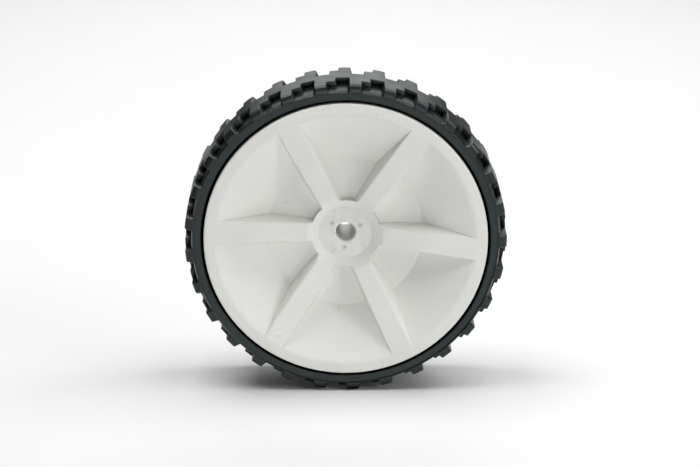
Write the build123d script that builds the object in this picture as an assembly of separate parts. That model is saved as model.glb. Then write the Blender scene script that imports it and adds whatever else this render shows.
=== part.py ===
from build123d import *
import os
from math import atan, cos, hypot, radians, sin, tan

# A snow blower wheel: a white moulded six-spoke rim with a black lugged rubber tyre on it.
# Millimetres, Z up. The axle line is Y, the outer face looks towards -Y, and the origin
# lies on the axle line in the middle of the tyre's width.
# A depth is measured from the foremost plane of the outer face, towards the back.

# Tyre
TYRE_DIAMETER = 203.2
TYRE_WIDTH = 46.0
RUBBER_THICKNESS = 12.1  # from the lug tops down to the seat on the rim
LUG_HEIGHT = 3.6
EDGE_DROP = 5.0          # from the lug tops down to the ridge at the front of each shoulder
SHOULDER_RUN = 3.2       # from that ridge in to the level lug tops
SHOULDER_FACETS = 2      # that the rounding between them is made of
FLOOR_DROP = 1.8         # how far the recess floor falls towards the shoulder
FLOOR_SLOPE_RUN = 2.6    # over which it falls
BAND_DEPTH = 1.1         # flat band in the sidewall, set back from the ridge
BAND_EDGE = 1.4          # width of the slope between ridge and band
BAND_INSET = 2.4         # from the tyre's seat out to the band
BEAD_DEPTH = 2.8         # where the sidewall meets the rim

# Tread
LUG_COUNT = 29
LUG_SHARE = 0.33         # part of each pitch that stays at full height on the shoulder
DEEP_SHARE = 0.39        # part of each pitch where the recess is deep
RIB_WIDTH = 10.8         # of the rib that runs round between the deep ends of the recesses
STEP_DEPTH = 9.2         # from the shoulder to the shallow end of a recess
OVERLAP_SHARE = 0.03     # how far apart along the tread the front and back recesses start
RECESS_DRAFT = 18.0
TREAD_ANGLE = -1.6       # of the first pair of recesses, from +Z towards -X

# Rim
RIM_CHAMFER = 0.6
LIP_WIDTH = 7.4
LIP_BEVEL = 1.7          # flat that breaks the edge between lip and bowl, along each of them
RIM_WALL = 3.0
BARREL_WALL = 4.0
WEB_RADIUS = 49.5
WEB_DEPTH = 20.0
SEAT_CLEARANCE = 0.1

# Spokes
SPOKE_COUNT = 6
SPOKE_ANGLE = -4.0       # of the first spoke, from +X towards +Z
SPOKE_INNER_WIDTH = 11.6
SPOKE_OUTER_WIDTH = 14.6
SPOKE_DRAFT = 14.0
SPOKE_EDGE_ROUND = 1.2
SPOKE_HUB_DEPTH = 13.0   # of the spoke's face where it meets the hub recess
SPOKE_WALL = 2.8

# Hub
BORE_DIAMETER = 12.7
BORE_CHAMFER = 0.8
HUB_LENGTH = 35.0
HUB_FLOOR_DEPTH = 19.0
HUB_FLOOR_RADIUS = 17.2
HUB_CREST_RADIUS = 25.3  # of the hub recess where it breaks out on the spokes
COLLAR_RADIUS = 22.3
TUBE_RADIUS = 13.5
GUSSET_REACH = 44.0
GUSSET_THICKNESS = 2.6
GUSSET_DROP = 7.0        # from the tube's end down to the top of a gusset

# How far cutting tools and joined pieces pass beyond the surface they cross
PAST = 1.0

TIP_RADIUS = TYRE_DIAMETER / 2
EDGE_RADIUS = TIP_RADIUS - EDGE_DROP
FLOOR_RADIUS = TIP_RADIUS - LUG_HEIGHT
SEAT_RADIUS = TIP_RADIUS - RUBBER_THICKNESS
RIM_RADIUS = SEAT_RADIUS - SEAT_CLEARANCE
BARREL_RADIUS = RIM_RADIUS - BARREL_WALL
LIP_RADIUS = RIM_RADIUS - LIP_WIDTH
BOWL_SLOPE = WEB_DEPTH / (LIP_RADIUS - WEB_RADIUS)
SPOKE_SLOPE = SPOKE_HUB_DEPTH / (LIP_RADIUS - HUB_CREST_RADIUS)
WEB_BACK = WEB_DEPTH + RIM_WALL
HUB_END = HUB_FLOOR_DEPTH + HUB_LENGTH
FRONT = -TYRE_WIDTH / 2
PITCH = 360 / LUG_COUNT


def turned(corners):
    """Solid turned about the axle line from (radius, depth) corners."""
    outline = Polyline(*[(radius, FRONT + depth) for radius, depth in corners], close=True)
    return revolve(make_face(outline), Axis.Y)


def drafted(plane, outline, depth, angle):
    """Block under an outline on a plane, with sides that lean outwards by an angle as it goes down."""
    block = extrude(plane * outline, depth)
    sides = block.faces().filter_by(lambda side: abs(side.normal_at().dot(plane.z_dir)) < cos(radians(45)))
    return draft(sides, plane, -angle)


def spread(shape, count, start):
    """Copies of a shape round the axle, the first one turned start degrees from +X towards +Z."""
    return [Rot(Y=-start - 360 * number / count) * shape for number in range(count)]


def tyre_blank():
    """Tyre before its tread is cut, with the same sidewall and shoulder on both sides."""
    sidewall = [
        (SEAT_RADIUS, BEAD_DEPTH),
        (SEAT_RADIUS + BAND_INSET, BAND_DEPTH),
        (EDGE_RADIUS - BAND_EDGE, BAND_DEPTH),
    ]
    turns = [radians(90 * number / SHOULDER_FACETS) for number in range(SHOULDER_FACETS + 1)]
    shoulder = [(EDGE_RADIUS + EDGE_DROP * sin(turn), SHOULDER_RUN * (1 - cos(turn))) for turn in turns]
    half = sidewall + shoulder
    other_half = [(radius, TYRE_WIDTH - depth) for radius, depth in reversed(half)]
    return turned(half + other_half)


def under_recess():
    """Block under the floor of a recess over the axle. The floor falls towards the front shoulder."""
    edge = FLOOR_RADIUS - FLOOR_DROP
    ahead = FRONT - 2 * EDGE_DROP
    foot = edge - 2 * EDGE_DROP
    outline = make_face(Polyline(
        (0, FLOOR_RADIUS),
        (FRONT + FLOOR_SLOPE_RUN, FLOOR_RADIUS),
        (FRONT, edge),
        (ahead, edge),
        (ahead, foot),
        (0, foot),
        close=True,
    ))
    return extrude(Plane.YZ * outline, TIP_RADIUS * radians(PITCH), both=True)


def tread_recess():
    """One stepped recess over the axle, open at the front shoulder, deep on its +X side."""
    half_width = TIP_RADIUS * radians(PITCH * (1 - LUG_SHARE)) / 2
    step = half_width - TIP_RADIUS * radians(PITCH * DEEP_SHARE)
    mouth = TYRE_WIDTH / 2 + EDGE_DROP
    shallow_end = TYRE_WIDTH / 2 - STEP_DEPTH
    deep_end = RIB_WIDTH / 2
    outline = make_face(Polyline(
        (-half_width, mouth),
        (half_width, mouth),
        (half_width, deep_end),
        (step, deep_end),
        (step, shallow_end),
        (-half_width, shallow_end),
        close=True,
    ))
    above = offset(outline, PAST * tan(radians(RECESS_DRAFT)), kind=Kind.INTERSECTION)
    top = Plane(origin=(0, 0, TIP_RADIUS + PAST), x_dir=(1, 0, 0), z_dir=(0, 0, -1))
    return drafted(top, above, EDGE_DROP + 2 * PAST, -RECESS_DRAFT) - under_recess()


def tyre():
    """Rubber tyre with a zigzag rib between the recesses of its two shoulders."""
    front = tread_recess()
    back = Rot(Z=180) * front
    aside = PITCH * (1 - LUG_SHARE + OVERLAP_SHARE) / 2
    recesses = spread(front, LUG_COUNT, TREAD_ANGLE + aside) + spread(back, LUG_COUNT, TREAD_ANGLE - aside)
    return tyre_blank() - recesses


def bowl_back(wall, radius):
    """Depth of the bowl's back at a radius."""
    return wall * hypot(1, BOWL_SLOPE) + (LIP_RADIUS - radius) * BOWL_SLOPE


def web_bend(wall):
    """Radius where the bowl's back turns into the web's back."""
    return LIP_RADIUS - (WEB_DEPTH + wall - wall * hypot(1, BOWL_SLOPE)) / BOWL_SLOPE


def dish_region(wall, reach):
    """What lies between the front plane and the back of the dish, out to a radius."""
    return turned([
        (0, 0),
        (reach, 0),
        (reach, bowl_back(wall, reach)),
        (web_bend(wall), WEB_DEPTH + wall),
        (0, WEB_DEPTH + wall),
    ])


def dish_and_barrel():
    """Lip, bowl and web with the barrel that the tyre sits on."""
    bowl = atan(BOWL_SLOPE)
    return turned([
        (0, WEB_DEPTH),
        (WEB_RADIUS, WEB_DEPTH),
        (LIP_RADIUS - LIP_BEVEL * cos(bowl), LIP_BEVEL * sin(bowl)),
        (LIP_RADIUS + LIP_BEVEL, 0),
        (RIM_RADIUS - RIM_CHAMFER, 0),
        (RIM_RADIUS, RIM_CHAMFER),
        (RIM_RADIUS, TYRE_WIDTH),
        (BARREL_RADIUS, TYRE_WIDTH),
        (BARREL_RADIUS, bowl_back(RIM_WALL, BARREL_RADIUS)),
        (web_bend(RIM_WALL), WEB_BACK),
        (0, WEB_BACK),
    ])


def spoke_bar(inner, outer, narrowing, sink):
    """Drafted bar under the sloping spoke face, along +X between two radii."""
    slope = atan(SPOKE_SLOPE)
    along = (cos(slope), -sin(slope), 0)
    into = (sin(slope), cos(slope), 0)
    face = Plane(origin=(LIP_RADIUS, FRONT, 0), x_dir=along, z_dir=into).offset(sink)
    start = (inner - LIP_RADIUS) / cos(slope)
    end = (outer - LIP_RADIUS) / cos(slope)
    inner_half = SPOKE_INNER_WIDTH / 2 - narrowing
    outer_half = SPOKE_OUTER_WIDTH / 2 - narrowing
    outline = make_face(Polyline(
        (start, -inner_half),
        (end, -outer_half),
        (end, outer_half),
        (start, inner_half),
        close=True,
    ))
    return drafted(face, outline, WEB_DEPTH, SPOKE_DRAFT)


def spoke():
    """One spoke with rounded edges, cut off at the back of the dish."""
    bar = spoke_bar(HUB_FLOOR_RADIUS, RIM_RADIUS, 0, 0)
    face = bar.faces().sort_by(Axis.Y)[0]
    sides = face.edges().sort_by(SortBy.LENGTH)[-2:]
    return fillet(sides, SPOKE_EDGE_ROUND) & dish_region(RIM_WALL, BARREL_RADIUS + PAST)


def spoke_hollow():
    """Space inside one spoke, open at the back of the dish."""
    bar = spoke_bar(HUB_CREST_RADIUS + SPOKE_WALL, LIP_RADIUS, SPOKE_WALL, SPOKE_WALL)
    return bar & dish_region(RIM_WALL + PAST, LIP_RADIUS)


def hub():
    """Collar in front of the web and tube behind it, before the recess and the bore."""
    return turned([
        (0, SPOKE_HUB_DEPTH),
        (COLLAR_RADIUS, SPOKE_HUB_DEPTH),
        (COLLAR_RADIUS, WEB_BACK),
        (TUBE_RADIUS, WEB_BACK),
        (TUBE_RADIUS, HUB_END),
        (0, HUB_END),
    ])


def hub_recess():
    """Conical recess in the hub's front, down to a flat floor."""
    slope = (HUB_FLOOR_DEPTH - SPOKE_HUB_DEPTH) / (HUB_CREST_RADIUS - HUB_FLOOR_RADIUS)
    mouth = HUB_FLOOR_RADIUS + (HUB_FLOOR_DEPTH + PAST) / slope
    return turned([
        (0, -PAST),
        (mouth, -PAST),
        (HUB_FLOOR_RADIUS, HUB_FLOOR_DEPTH),
        (0, HUB_FLOOR_DEPTH),
    ])


def bore():
    """Axle bore with a chamfer at each end."""
    radius = BORE_DIAMETER / 2
    mouth = radius + BORE_CHAMFER + PAST
    return turned([
        (0, HUB_FLOOR_DEPTH - PAST),
        (mouth, HUB_FLOOR_DEPTH - PAST),
        (radius, HUB_FLOOR_DEPTH + BORE_CHAMFER),
        (radius, HUB_END - BORE_CHAMFER),
        (mouth, HUB_END + PAST),
        (0, HUB_END + PAST),
    ])


def gusset():
    """Triangular plate along +X between the hub tube and the back of the web."""
    root = TUBE_RADIUS - PAST
    outline = make_face(Polyline(
        (root, FRONT + WEB_BACK - PAST),
        (GUSSET_REACH, FRONT + WEB_BACK - PAST),
        (GUSSET_REACH, FRONT + WEB_BACK + PAST),
        (root, FRONT + HUB_END - GUSSET_DROP),
        close=True,
    ))
    return extrude(outline, GUSSET_THICKNESS / 2, both=True)


def rim():
    """White moulding: dish, barrel, spokes and hub in one piece."""
    spokes = spread(spoke(), SPOKE_COUNT, SPOKE_ANGLE)
    gussets = spread(gusset(), SPOKE_COUNT, SPOKE_ANGLE + 180 / SPOKE_COUNT)
    hollows = spread(spoke_hollow(), SPOKE_COUNT, SPOKE_ANGLE)
    body = dish_and_barrel() + hub() + spokes + gussets
    return body - hub_recess() - hollows - bore()


os.makedirs("parts", exist_ok=True)
export_step(rim(), "parts/rim.step")
export_step(tyre(), "parts/tyre.step")
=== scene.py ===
import bmesh
import bpy
from math import cos, pi, radians, sin, tan
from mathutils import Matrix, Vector


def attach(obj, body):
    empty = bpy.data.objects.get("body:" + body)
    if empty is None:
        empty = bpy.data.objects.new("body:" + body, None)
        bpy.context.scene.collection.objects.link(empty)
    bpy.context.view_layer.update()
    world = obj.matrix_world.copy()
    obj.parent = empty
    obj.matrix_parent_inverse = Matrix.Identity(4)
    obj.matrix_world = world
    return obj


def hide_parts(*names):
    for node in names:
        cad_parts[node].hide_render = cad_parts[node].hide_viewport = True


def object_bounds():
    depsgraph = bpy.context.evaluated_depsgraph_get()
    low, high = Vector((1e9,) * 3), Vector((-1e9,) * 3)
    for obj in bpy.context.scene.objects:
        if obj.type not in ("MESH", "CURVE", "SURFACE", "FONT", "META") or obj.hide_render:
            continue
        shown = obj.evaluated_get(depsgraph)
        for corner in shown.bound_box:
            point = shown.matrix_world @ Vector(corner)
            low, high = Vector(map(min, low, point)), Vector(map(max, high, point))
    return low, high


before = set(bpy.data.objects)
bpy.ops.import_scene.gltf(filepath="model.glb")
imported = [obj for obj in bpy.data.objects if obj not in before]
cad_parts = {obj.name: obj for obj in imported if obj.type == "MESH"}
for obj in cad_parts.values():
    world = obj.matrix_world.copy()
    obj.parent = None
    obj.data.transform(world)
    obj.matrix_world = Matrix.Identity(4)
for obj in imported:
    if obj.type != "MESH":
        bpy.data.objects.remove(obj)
cad_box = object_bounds()

MM = 0.001

# Sizes of the tyre in millimetres. A depth is measured from the foremost plane of the outer face.
TYRE_WIDTH = 46.0
FACE_Y = -TYRE_WIDTH / 2
TIP_RADIUS = 101.6
RUBBER_THICKNESS = 12.1          # from the seat on the rim to the tips of the lugs
SEAT_RADIUS = TIP_RADIUS - RUBBER_THICKNESS
SHOULDER_DROP = 5.0              # from the tips to the ridge in front of the shoulder
EDGE_RADIUS = TIP_RADIUS - SHOULDER_DROP
SHOULDER_RUN = 3.2

# The sidewall's profile in millimetres: a steep lip at the bead, a flat band and the ridge
BEAD_DEPTH = 4.2
LIP_DEPTH = 0.5
LIP_RUN = 0.3
BAND_DEPTH = 1.1
BAND_ABOVE_SEAT = 2.2
BAND_BELOW_EDGE = 1.4
BAND_FOOT = SEAT_RADIUS + BAND_ABOVE_SEAT
BAND_TOP = EDGE_RADIUS - BAND_BELOW_EDGE
BAND_BLEND = 0.3                 # by which the flat part stops short of the band's edges
FOOT_BEND = 0.25                 # depth of the bend inside the band
TOP_BEND = 0.2                   # depth and width of the bend outside it
BEND_RUN = 0.4
RIDGE_DEPTH = 0.3

# Tread in millimetres, with shares of one pitch. The recesses are a little deeper than the solid's,
# and steeper at their ends.
LUG_HEIGHT = 4.2
LUG_COUNT = 29
PITCH = 2 * pi * TIP_RADIUS / LUG_COUNT
LUG_SHARE = 0.33                 # left at full height between two recesses of one side
RIB_SHARE = 0.03                 # between the near sides of a front and a back recess
DEEP_SHARE = 0.41                # where a recess runs on to its far end
HALF_RECESS = PITCH * (1 - LUG_SHARE) / 2
RECESS_ASIDE = PITCH * (1 - LUG_SHARE + RIB_SHARE) / 2
DEEP_WIDTH = PITCH * DEEP_SHARE
STEP_DEPTH = 9.9                 # of the near end of a recess
DEEP_END = 18.1                  # of its far end
MOUTH_DEPTH = 0.25               # where its floor starts
FLOOR_DROP = 1.2                 # how far the floor falls towards the shoulder
FLOOR_SLOPE_RUN = 2.6            # over which it falls
TREAD_ANGLE = radians(1.6)
TREAD_SHIFT = TIP_RADIUS * TREAD_ANGLE
SIDE_DRAFT = radians(17.0)
END_DRAFT = radians(1.0)
EDGE_ROUND = 0.4
FOOT_ROUND = 0.4

# The tyre's skin: rows round the shoulder, depths of rows between the recess ends, and the gaps
# between columns in millimetres
SHOULDER_ROWS = 7
PLAIN_ROWS = [5.0, 13.0, 20.5]
SMALLEST_GAP = 0.09
LARGEST_GAP = 1.6

# Sizes and places on the rim in millimetres, and angles between its faces
RIM_EDGE_ROUND = 0.5
RIM_EDGE_STEPS = 3
SHARP_ANGLE = radians(28.0)
FLAT_ANGLE = radians(0.4)
WELD_DISTANCE = 0.01
HUB_FLOOR_DEPTH = 19.0
HUB_FLOOR_Y = FACE_Y + HUB_FLOOR_DEPTH
HUB_FLOOR_RADIUS = 17.2
GATE_COUNT = 3
GATE_CIRCLE = 10.3
GATE_REACH = 2.5
GATE_ANGLE = 26.0
NUB = (-42.7, -21.7, -63.4)
NUB_REACH = 2.2
SPECKS = [(-4.3, -4.1, -51.1), (19.2, -23.0, 82.7), (-37.8, -3.0, 19.7), (28.5, -3.0, -24.2)]
SPECK_REACH = 0.7

# Looks: how strongly large faces lead in smooth shading (50 is neutral), the lengths in millimetres over
# which the plastic's edges turn, light spreads in the plastic and painted shade darkens the rubber's
# recesses, and the rubber's shine
NORMAL_WEIGHT = 80
SOFT_TURN = 0.9
LIGHT_SPREAD = 2.5
PAINTED_SHADE_REACH = 8.0
RUBBER_SHINE = 0.48

# The floor in metres: half its side, and where the stretch starts and how long it is over which painted
# light turns the floor's colour paler towards the back
FLOOR_REACH = 6.0
FLOOR_NEAR = -0.3
FLOOR_SPAN = 1.3

# The view: picture size and the pixel where the middle of the outer face lies, the scale there,
# and the camera's place in metres and degrees
PICTURE_WIDTH = 700
PICTURE_HEIGHT = 467
AIM_PIXEL = (345.8, 241.55)
PIXELS_PER_METRE = 1591.6
CAMERA_DISTANCE = 1.32
CAMERA_AZIMUTH = -0.4
CAMERA_ELEVATION = 19.0
SENSOR_WIDTH = 36.0


def new_object(name, mesh):
    """Object made from a mesh, in the scene."""
    piece = bpy.data.objects.new(name, mesh)
    bpy.context.scene.collection.objects.link(piece)
    return piece


def smooth(piece):
    """Smooth shading that the large faces lead."""
    piece.data.shade_smooth()
    weighted = piece.modifiers.new("weighted", "WEIGHTED_NORMAL")
    weighted.weight = NORMAL_WEIGHT


def wall_steps(draft):
    """(distance inside the outline, share of the depth) along one recess wall, from its top to its foot."""
    lean = pi / 2 - draft
    run = LUG_HEIGHT * tan(draft)
    top_reach = EDGE_ROUND * tan(lean / 2)
    foot_reach = FOOT_ROUND * tan(lean / 2)
    steps = []
    for turn in (0, lean / 2, lean):
        steps.append((EDGE_ROUND * sin(turn) - top_reach, EDGE_ROUND * (1 - cos(turn)) / LUG_HEIGHT))
    for turn in (lean, lean / 2, 0):
        drop = LUG_HEIGHT - FOOT_ROUND * (1 - cos(turn))
        steps.append((run + foot_reach - FOOT_ROUND * sin(turn), drop / LUG_HEIGHT))
    return steps


SIDE_WALL = wall_steps(SIDE_DRAFT)
END_WALL = wall_steps(END_DRAFT)


def wall_drop(inside, wall):
    """Share of the recess depth reached at a distance inside one wall's top edge."""
    if inside <= wall[0][0]:
        return 0.0
    for (near, low), (far, high) in zip(wall, wall[1:]):
        if inside <= far:
            return low + (high - low) * (inside - near) / (far - near)
    return 1.0


def recess_drop(along, depth):
    """Share of the recess depth at a place in one half of the tread.
    Along is measured from the middle of the nearest recess, depth from that half's face."""
    right = wall_drop(HALF_RECESS - along, SIDE_WALL)
    left = wall_drop(HALF_RECESS + along, SIDE_WALL)
    step = wall_drop(along - HALF_RECESS + DEEP_WIDTH, SIDE_WALL)
    shallow = min(right, left, wall_drop(STEP_DEPTH - depth, END_WALL))
    deep = min(right, step, wall_drop(DEEP_END - depth, END_WALL))
    return max(shallow, deep)


def floor_radius(depth):
    """Radius of a recess floor, which falls away towards the shoulder."""
    share = max(0.0, 1 - depth / FLOOR_SLOPE_RUN)
    return TIP_RADIUS - LUG_HEIGHT - FLOOR_DROP * share


def sidewall_rows():
    """(depth, radius) along the sidewall's profile, from the bead to the ridge."""
    return [
        (BEAD_DEPTH, SEAT_RADIUS),
        (BEAD_DEPTH - LIP_DEPTH, SEAT_RADIUS + LIP_RUN),
        (BAND_DEPTH + FOOT_BEND, BAND_FOOT - BEND_RUN),
        (BAND_DEPTH, BAND_FOOT + BAND_BLEND),
        (BAND_DEPTH, BAND_TOP - BAND_BLEND),
        (BAND_DEPTH - TOP_BEND, BAND_TOP + TOP_BEND),
        (RIDGE_DEPTH, EDGE_RADIUS - BEND_RUN),
    ]


def front_rows():
    """(depth, radius on a lug, depth and radius in a recess) from the bead to the middle of the tread."""
    rows = [(depth, radius, depth, radius) for depth, radius in sidewall_rows()]
    for number in range(SHOULDER_ROWS):
        share = number / (SHOULDER_ROWS - 1)
        depth = SHOULDER_RUN * (1 - cos(pi / 2 * share))
        radius = EDGE_RADIUS + (TIP_RADIUS - EDGE_RADIUS) * sin(pi / 2 * share)
        floor_depth = MOUTH_DEPTH + (SHOULDER_RUN - MOUTH_DEPTH) * share
        rows.append((depth, radius, floor_depth, floor_radius(floor_depth)))
    ends = [end - inside for end in (STEP_DEPTH, DEEP_END) for inside, share in END_WALL]
    for depth in sorted(ends + PLAIN_ROWS):
        rows.append((depth, TIP_RADIUS, depth, floor_radius(depth)))
    return rows


def tread_columns():
    """Distances round the tread within one pitch where the recess walls need edges."""
    front = [HALF_RECESS - inside for inside, share in SIDE_WALL]
    front += [inside - HALF_RECESS for inside, share in SIDE_WALL]
    front += [HALF_RECESS - DEEP_WIDTH + inside for inside, share in SIDE_WALL]
    places = [TREAD_SHIFT - RECESS_ASIDE + along for along in front]
    places += [TREAD_SHIFT + RECESS_ASIDE - along for along in front]
    places = sorted(place % PITCH for place in places)
    columns = [places[0]]
    for place in places[1:] + [places[0] + PITCH]:
        gap = place - columns[-1]
        if gap < SMALLEST_GAP:
            continue
        fill = int(gap / LARGEST_GAP)
        columns += [columns[-1] + gap * (number + 1) / (fill + 1) for number in range(fill)]
        columns.append(place)
    if columns[-1] - columns[0] > PITCH - SMALLEST_GAP / 2:
        columns.pop()
    return columns


def tyre_ring(row, side, columns):
    """Points round the tyre along one row. Side is 1 for the outer half of the tread and -1 for the other."""
    depth, lug_radius, floor_depth, recess_radius = row
    centre = TREAD_SHIFT - side * RECESS_ASIDE
    half = PITCH / 2
    ring = []
    for column in columns:
        along = (side * (column - centre) + half) % PITCH - half
        share = recess_drop(along, floor_depth) if lug_radius > recess_radius else 0.0
        radius = lug_radius + (recess_radius - lug_radius) * share
        back = depth + (floor_depth - depth) * share
        turn = column / TIP_RADIUS
        ring.append((radius * sin(turn) * MM, side * (FACE_Y + back) * MM, radius * cos(turn) * MM))
    return ring


def tyre_mesh():
    """Tyre as one closed skin: rows across it from bead to bead, columns round it."""
    rows = front_rows()
    one_pitch = tread_columns()
    columns = [number * PITCH + column for number in range(LUG_COUNT) for column in one_pitch]
    rings = [tyre_ring(row, 1, columns) for row in rows]
    rings += [tyre_ring(row, -1, columns) for row in reversed(rows)]
    size = len(columns)
    faces = []
    for row in range(len(rings)):
        this = row * size
        other = (row + 1) % len(rings) * size
        for column in range(size):
            beside = (column + 1) % size
            faces.append((this + column, this + beside, other + beside, other + column))
    mesh = bpy.data.meshes.new("tyre_skin")
    mesh.from_pydata([point for ring in rings for point in ring], [], faces)
    mesh.validate()
    shaped = bmesh.new()
    shaped.from_mesh(mesh)
    bmesh.ops.recalc_face_normals(shaped, faces=shaped.faces)
    shaped.to_mesh(mesh)
    shaped.free()
    return mesh


def make_tyre():
    """Rubber tyre with rounded lugs, in place of the plain solid."""
    piece = new_object("tyre_rubber_skin", tyre_mesh())
    smooth(piece)
    piece.data.materials.append(rubber())
    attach(piece, "root")
    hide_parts("tyre")


def make_rim():
    """White moulding with softened edges, shaped from the solid itself."""
    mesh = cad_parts["rim"].data.copy()
    shaped = bmesh.new()
    shaped.from_mesh(mesh)
    bmesh.ops.remove_doubles(shaped, verts=shaped.verts, dist=WELD_DISTANCE * MM)
    bmesh.ops.dissolve_limit(shaped, angle_limit=FLAT_ANGLE, verts=shaped.verts, edges=shaped.edges)
    shaped.to_mesh(mesh)
    shaped.free()
    piece = new_object("rim_moulding", mesh)
    bevel = piece.modifiers.new("soft_edges", "BEVEL")
    bevel.width = RIM_EDGE_ROUND * MM
    bevel.segments = RIM_EDGE_STEPS
    bevel.limit_method = "ANGLE"
    bevel.angle_limit = SHARP_ANGLE
    smooth(piece)
    piece.data.materials.clear()
    piece.data.materials.append(white_plastic())
    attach(piece, "root")
    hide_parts("rim")


def node(tree, kind, **inputs):
    """Shader node with some of its inputs set."""
    made = tree.nodes.new(kind)
    for name, value in inputs.items():
        made.inputs[name].default_value = value
    return made


def noise(tree, place, scale, detail=3.0, roughness=0.55):
    """Noise over the object's own coordinates."""
    made = node(tree, "ShaderNodeTexNoise", Scale=scale, Detail=detail, Roughness=roughness)
    tree.links.new(place.outputs["Object"], made.inputs["Vector"])
    return made


def ramp(tree, source, stops):
    """Colour ramp over a value, from (position, colour) stops."""
    made = tree.nodes.new("ShaderNodeValToRGB")
    made.color_ramp.elements[0].position = stops[0][0]
    made.color_ramp.elements[0].color = (*stops[0][1], 1)
    made.color_ramp.elements[1].position = stops[-1][0]
    made.color_ramp.elements[1].color = (*stops[-1][1], 1)
    for position, colour in stops[1:-1]:
        made.color_ramp.elements.new(position).color = (*colour, 1)
    tree.links.new(source, made.inputs["Fac"])
    return made


def grey_ramp(tree, source, greys):
    """Colour ramp over a value, from (position, grey) stops."""
    return ramp(tree, source, [(position, (grey,) * 3) for position, grey in greys])


def bump(tree, source, strength, height, below=None):
    """Bump from a value, with its height in metres, on top of another normal if one is given."""
    made = node(tree, "ShaderNodeBump", Strength=strength, Distance=height)
    tree.links.new(source, made.inputs["Height"])
    if below is not None:
        tree.links.new(below.outputs["Normal"], made.inputs["Normal"])
    return made


def material(name):
    """New node material with its shader and the object's coordinates."""
    made = bpy.data.materials.new(name)
    made.use_nodes = True
    tree = made.node_tree
    shader = tree.nodes["Principled BSDF"]
    place = tree.nodes.new("ShaderNodeTexCoord")
    return made, tree, shader, place


def multiply(tree, first, second):
    """Product of the colours of two nodes."""
    made = tree.nodes.new("ShaderNodeMixRGB")
    made.blend_type = "MULTIPLY"
    made.inputs["Fac"].default_value = 1.0
    tree.links.new(first.outputs["Color"], made.inputs["Color1"])
    tree.links.new(second.outputs["Color"], made.inputs["Color2"])
    return made


def maths(tree, operation, first, second):
    """Maths node on an output and a number or a second output."""
    made = tree.nodes.new("ShaderNodeMath")
    made.operation = operation
    tree.links.new(first, made.inputs[0])
    if isinstance(second, float):
        made.inputs[1].default_value = second
    else:
        tree.links.new(second, made.inputs[1])
    return made.outputs["Value"]


def distance(tree, place, spot):
    """Distance in metres from a spot that is given in millimetres."""
    made = tree.nodes.new("ShaderNodeVectorMath")
    made.operation = "DISTANCE"
    tree.links.new(place.outputs["Object"], made.inputs[0])
    made.inputs[1].default_value = [value * MM for value in spot]
    return made.outputs["Value"]


def round_marks(tree, place, spots, reach, greys):
    """Round marks at some spots, from (share of their reach, grey) stops outwards."""
    nearest = distance(tree, place, spots[0])
    for spot in spots[1:]:
        nearest = maths(tree, "MINIMUM", nearest, distance(tree, place, spot))
    return grey_ramp(tree, maths(tree, "DIVIDE", nearest, reach * MM), greys)


def gate_marks(tree, place):
    """Marks of the three gates on the hub's floor: a dark stub in a shallow ring."""
    turns = [radians(GATE_ANGLE + 360 * number / GATE_COUNT) for number in range(GATE_COUNT)]
    spots = [(GATE_CIRCLE * cos(turn), HUB_FLOOR_Y, GATE_CIRCLE * sin(turn)) for turn in turns]
    greys = [(0.0, 0.35), (0.2, 0.45), (0.32, 0.93), (0.5, 0.99), (0.62, 0.62), (0.8, 1.0)]
    return round_marks(tree, place, spots, GATE_REACH, greys)


def hub_scuffs(tree, place):
    """Faint grey mottling within the hub's floor."""
    middle = 0.5
    mottle = noise(tree, place, scale=160.0, detail=4.0, roughness=0.6)
    away = distance(tree, place, (0, HUB_FLOOR_Y, 0))
    inside = maths(tree, "LESS_THAN", away, HUB_FLOOR_RADIUS * MM)
    height = maths(tree, "SUBTRACT", mottle.outputs["Fac"], middle)
    spread = maths(tree, "MULTIPLY", height, inside)
    return grey_ramp(tree, maths(tree, "ADD", spread, middle), [(0.3, 0.9), (middle, 0.99)])


def white_plastic():
    """Satin white moulded plastic: faint clouds, a fine grain, gate marks, specks and one raised nub."""
    made, tree, shader, place = material("white_moulded_plastic")
    cloud = noise(tree, place, scale=22.0, detail=4.0)
    tint = ramp(tree, cloud.outputs["Fac"], [(0.32, (0.775, 0.78, 0.74)), (0.68, (0.815, 0.82, 0.785))])
    gates = gate_marks(tree, place)
    specks = round_marks(tree, place, SPECKS, SPECK_REACH, [(0.3, 0.72), (1.0, 1.0)])
    marked = multiply(tree, multiply(tree, tint, gates), specks)
    scuffed = multiply(tree, marked, hub_scuffs(tree, place))
    tree.links.new(scuffed.outputs["Color"], shader.inputs["Base Color"])
    sheen = noise(tree, place, scale=60.0, detail=2.0)
    gloss = grey_ramp(tree, sheen.outputs["Fac"], [(0.3, 0.40), (0.7, 0.50)])
    tree.links.new(gloss.outputs["Color"], shader.inputs["Roughness"])
    waves = noise(tree, place, scale=55.0, detail=2.0)
    grain = noise(tree, place, scale=1400.0, detail=2.0)
    nub = round_marks(tree, place, [NUB], NUB_REACH, [(0.0, 1.0), (0.4, 0.9), (0.8, 0.1), (1.0, 0.0)])
    rounded = node(tree, "ShaderNodeBevel", Radius=SOFT_TURN * MM)
    soft = bump(tree, waves.outputs["Fac"], strength=0.25, height=0.6 * MM, below=rounded)
    dimpled = bump(tree, gates.outputs["Color"], strength=0.5, height=0.5 * MM, below=soft)
    raised = bump(tree, nub.outputs["Color"], strength=0.7, height=0.6 * MM, below=dimpled)
    fine = bump(tree, grain.outputs["Fac"], strength=0.10, height=0.1 * MM, below=raised)
    tree.links.new(fine.outputs["Normal"], shader.inputs["Normal"])
    shader.inputs["IOR"].default_value = 1.49
    shader.inputs["Subsurface Weight"].default_value = 0.1
    shader.inputs["Subsurface Radius"].default_value = (1.0, 1.0, 0.9)
    shader.inputs["Subsurface Scale"].default_value = LIGHT_SPREAD * MM
    return made


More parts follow.
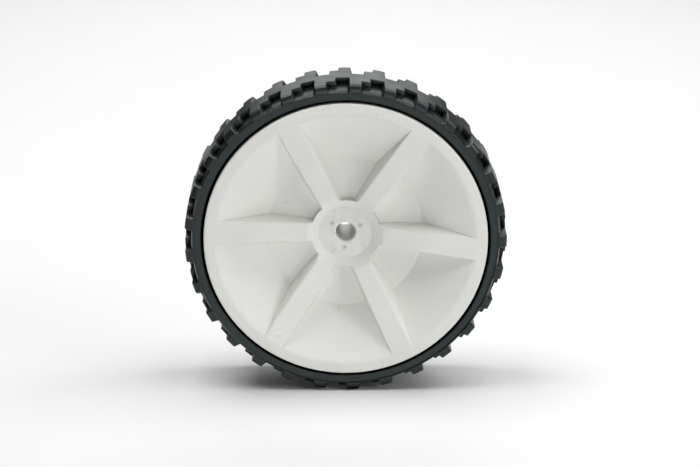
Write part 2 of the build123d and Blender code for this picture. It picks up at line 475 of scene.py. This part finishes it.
def rubber():
    """Black moulded rubber with a faint bloom and a fine grain, and painted shade deep in the recesses that
    darkens its colour and its shine.
    """
    made, tree, shader, place = material("black_moulded_rubber")
    bloom = noise(tree, place, scale=30.0, detail=5.0, roughness=0.65)
    tint = ramp(tree, bloom.outputs["Fac"], [(0.30, (0.0045, 0.006, 0.006)), (0.72, (0.0085, 0.011, 0.011))])
    painted_shade_occlusion = node(tree, "ShaderNodeAmbientOcclusion", Distance=PAINTED_SHADE_REACH * MM)
    # Painted shade: the rubber's colour and shine darken where it is closed in, deep in the recesses.
    painted_shading = grey_ramp(tree, painted_shade_occlusion.outputs["AO"], [(0.48, 0.04), (0.68, 1.0)])
    tree.links.new(multiply(tree, tint, painted_shading).outputs["Color"], shader.inputs["Base Color"])
    shine_under_painted_shade = maths(tree, "MULTIPLY", painted_shading.outputs["Color"], RUBBER_SHINE)
    tree.links.new(shine_under_painted_shade, shader.inputs["Specular IOR Level"])
    worn = noise(tree, place, scale=90.0)
    gloss = grey_ramp(tree, worn.outputs["Fac"], [(0.3, 0.33), (0.7, 0.45)])
    tree.links.new(gloss.outputs["Color"], shader.inputs["Roughness"])
    grain = noise(tree, place, scale=900.0)
    waves = noise(tree, place, scale=140.0, detail=2.0)
    soft = bump(tree, waves.outputs["Fac"], strength=0.15, height=0.4 * MM)
    fine = bump(tree, grain.outputs["Fac"], strength=0.20, height=0.2 * MM, below=soft)
    tree.links.new(fine.outputs["Normal"], shader.inputs["Normal"])
    shader.inputs["Specular Tint"].default_value = (0.86, 1.0, 1.0, 1)
    return made


def floor_paper():
    """Plain white paper for the floor, with painted light that makes its colour paler towards the back."""
    made, tree, shader, place = material("white_paper")
    fibre = noise(tree, place, scale=8.0)
    tint = ramp(tree, fibre.outputs["Fac"], [(0.3, (0.985, 0.987, 0.985)), (0.7, (1.0, 1.0, 1.0))])
    axes = tree.nodes.new("ShaderNodeSeparateXYZ")
    tree.links.new(place.outputs["Object"], axes.inputs["Vector"])
    share = maths(tree, "DIVIDE", maths(tree, "SUBTRACT", axes.outputs["Y"], FLOOR_NEAR), FLOOR_SPAN)
    # Painted light: the colour is darker in front and paler towards the back, where less light falls.
    painted_shading = grey_ramp(tree, share, [(0.0, 0.66), (0.3, 0.70), (1.0, 0.82)])
    tree.links.new(multiply(tree, tint, painted_shading).outputs["Color"], shader.inputs["Base Color"])
    shader.inputs["Roughness"].default_value = 0.9
    shader.inputs["Specular IOR Level"].default_value = 0.1
    return made


def make_floor():
    """Wide white floor under the tread."""
    mesh = bpy.data.meshes.new("floor_sheet")
    corners = [(-1, -1), (1, -1), (1, 1), (-1, 1)]
    mesh.from_pydata([(x * FLOOR_REACH, y * FLOOR_REACH, 0) for x, y in corners], [], [(0, 1, 2, 3)])
    floor = new_object("floor", mesh)
    floor.location.z = cad_box[0].z
    floor.data.materials.append(floor_paper())


def direction(azimuth, elevation):
    """Direction from the wheel, in degrees. Azimuth turns from the front to the right."""
    turn = radians(azimuth)
    rise = radians(elevation)
    return Vector((sin(turn) * cos(rise), -cos(turn) * cos(rise), sin(rise)))


def soft_light(name, azimuth, elevation, away, size, power):
    """Square soft light that looks at the wheel. Its distance and size are in metres, its power in watts."""
    data = bpy.data.lights.new(name, "AREA")
    data.size = size
    data.energy = power
    towards = direction(azimuth, elevation)
    lamp = bpy.data.objects.new(name, data)
    lamp.location = towards * away
    lamp.rotation_euler = (-towards).to_track_quat("-Z", "Y").to_euler()
    bpy.context.scene.collection.objects.link(lamp)


def make_light():
    """Soft white studio: broad lights overhead and behind, weaker ones in front and on the right."""
    world = bpy.data.worlds.new("studio")
    bpy.context.scene.world = world
    world.use_nodes = True
    backdrop = world.node_tree.nodes["Background"]
    backdrop.inputs["Color"].default_value = (1, 1, 1, 1)
    backdrop.inputs["Strength"].default_value = 0.01
    soft_light("overhead_left", azimuth=270, elevation=70, away=1.6, size=0.9, power=17.9)
    soft_light("overhead_right", azimuth=90, elevation=70, away=1.6, size=0.9, power=9.9)
    soft_light("overhead_front", azimuth=0, elevation=80, away=1.6, size=0.7, power=2.9)
    soft_light("behind", azimuth=180, elevation=36, away=1.7, size=1.5, power=12.4)
    soft_light("front_low", azimuth=0, elevation=5, away=1.6, size=0.7, power=6.4)
    soft_light("right_low", azimuth=60, elevation=20, away=1.6, size=0.5, power=5.2)
    soft_light("right_high", azimuth=100, elevation=50, away=1.6, size=0.5, power=4.8)
    soft_light("right_close", azimuth=75, elevation=30, away=0.8, size=0.5, power=1.1)


def make_camera():
    """Camera at the photograph's angle, looking down a little on the outer face."""
    back = direction(CAMERA_AZIMUTH, CAMERA_ELEVATION)
    data = bpy.data.cameras.new("camera")
    data.sensor_width = SENSOR_WIDTH
    data.lens = SENSOR_WIDTH * PIXELS_PER_METRE * CAMERA_DISTANCE / PICTURE_WIDTH
    data.shift_x = (PICTURE_WIDTH / 2 - AIM_PIXEL[0]) / PICTURE_WIDTH
    data.shift_y = (AIM_PIXEL[1] - PICTURE_HEIGHT / 2) / PICTURE_WIDTH
    camera = bpy.data.objects.new("camera", data)
    camera.location = Vector((0, FACE_Y * MM, 0)) + back * CAMERA_DISTANCE
    camera.rotation_mode = "QUATERNION"
    camera.rotation_quaternion = (-back).to_track_quat("-Z", "Y")
    bpy.context.scene.collection.objects.link(camera)
    bpy.context.scene.camera = camera


make_tyre()
make_rim()
make_floor()
make_light()
make_camera()
bpy.context.scene.view_settings.view_transform = "Standard"
